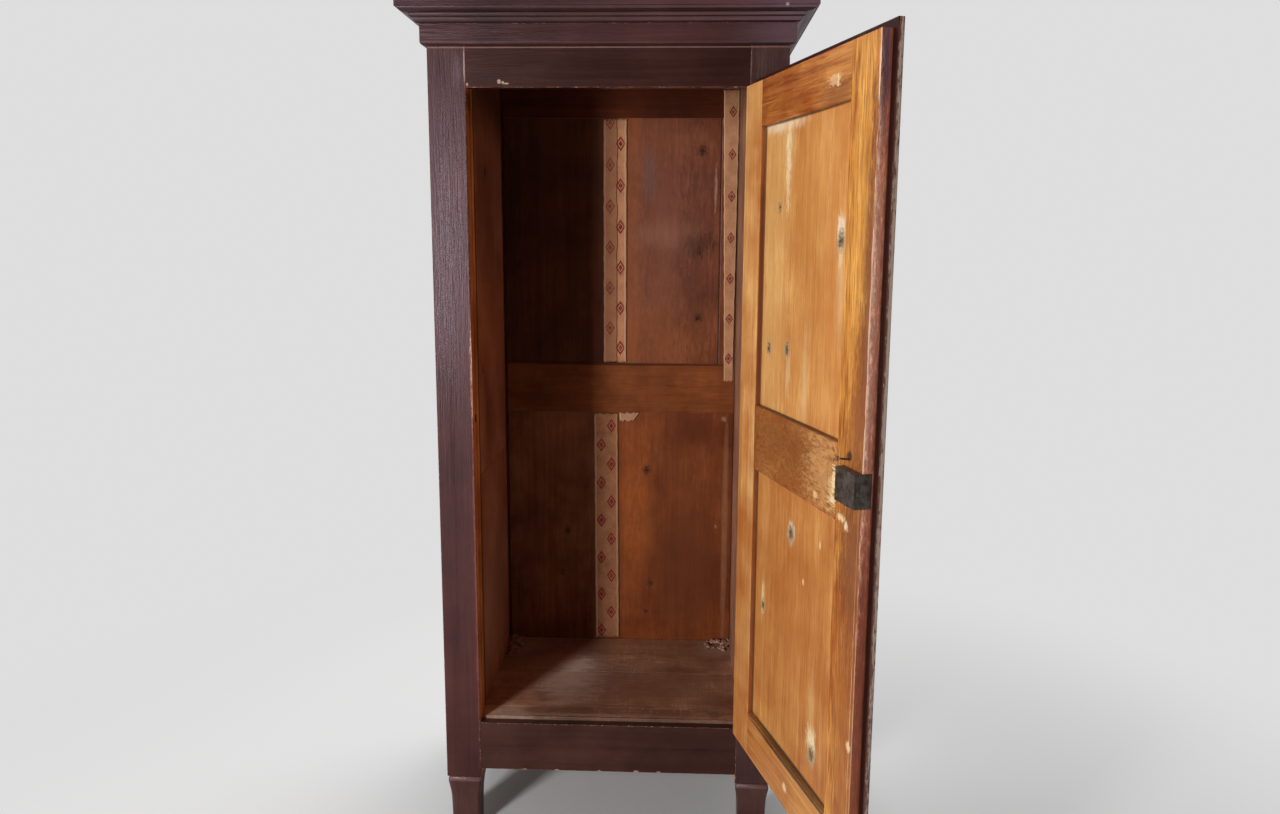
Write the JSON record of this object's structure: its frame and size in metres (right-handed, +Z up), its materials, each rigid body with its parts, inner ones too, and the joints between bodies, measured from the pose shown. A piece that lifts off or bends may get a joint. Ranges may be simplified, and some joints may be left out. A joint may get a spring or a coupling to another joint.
{
  "type": "bonnetiere cabinet",
  "caption": "Narrow one-door softwood cabinet: painted frame-and-panel case on shaped feet, stepped cornice, varnished inside, door open on pin hinges, iron lock with sliding bolt.",
  "frame": {"origin": "on the ground under the middle of the whole object's bounding box, with the door at rest, open", "axes": "+Z up; +X to the viewer's right when facing the front; +Y from the front to the back"},
  "size_m": [0.9668, 1.1788, 1.992],
  "materials": {
    "outside_paint": "old plum-brown paint on fir, satin",
    "varnished_inside": "reddish varnished fir, satin",
    "back_wood": "reddish varnished fir, satin",
    "door_wood": "golden varnished fir with knots, satin",
    "raw_wood": "raw darkened fir",
    "iron": "old forged iron with a brown patina",
    "paper": "aged paper strips with small red marks"
  },
  "bodies": {
    "case": {"post_front_left": "outside_paint", "post_front_right": "outside_paint", "post_rear_left": "outside_paint", "post_rear_right": "outside_paint", "foot_front_left": "outside_paint", "foot_front_right": "outside_paint", "foot_rear_left": "outside_paint", "foot_rear_right": "outside_paint", "front_bottom_rail": "outside_paint", "front_top_rail": "outside_paint", "side_bottom_rail_left": "outside_paint", "side_mid_rail_left": "outside_paint", "side_top_rail_left": "outside_paint", "side_lower_panel_left": "outside_paint", "side_upper_panel_left": "outside_paint", "side_bottom_rail_right": "outside_paint", "side_mid_rail_right": "outside_paint", "side_top_rail_right": "outside_paint", "side_lower_panel_right": "outside_paint", "side_upper_panel_right": "outside_paint", "cornice_fascia_front": "outside_paint", "cornice_fascia_left": "outside_paint", "cornice_fascia_right": "outside_paint", "cornice_crown_front": "outside_paint", "cornice_crown_left": "outside_paint", "cornice_crown_right": "outside_paint", "lining_lower_left": "varnished_inside", "lining_upper_left": "varnished_inside", "lining_lower_right": "varnished_inside", "lining_upper_right": "varnished_inside", "floor_front_strip": "varnished_inside", "floor_board_front": "varnished_inside", "floor_board_rear": "varnished_inside", "back_bottom_rail": "back_wood", "back_mid_rail": "back_wood", "back_top_rail": "back_wood", "back_lower_board_left": "back_wood", "back_lower_board_right": "back_wood", "back_upper_board_left": "back_wood", "back_upper_board_right": "back_wood", "back_upper_board_narrow": "back_wood", "top_board": "raw_wood", "paper_strip_upper": "paper", "paper_strip_lower": "paper", "paper_strip_corner": "paper", "hinge_bottom_case_half": "iron", "hinge_top_case_half": "iron"},
    "door": {"door_stile_hinge": "door_wood", "door_stile_lock": "door_wood", "door_bottom_rail": "door_wood", "door_lock_rail": "door_wood", "door_top_rail": "door_wood", "door_panel_lower": "door_wood", "door_panel_upper": "door_wood", "hinge_bottom_door_half": "iron", "hinge_top_door_half": "iron", "lock_case": "iron", "key_escutcheon": "iron", "bent_nail": "iron"},
    "bolt": {"lock_bolt": "iron"}
  },
  "joints": [
    {"name": "door_swing", "type": "hinge", "parent": "case", "child": "door", "pos_m": [0.29947, 0.03813, 1.042], "axis": [0, 0, 1], "range_deg": [-106, 64]},
    {"name": "bolt_throw", "type": "slide", "parent": "door", "child": "bolt", "axis": [0.2756, -0.9613, 0], "range_m": [0, 0.012]}
  ]
}
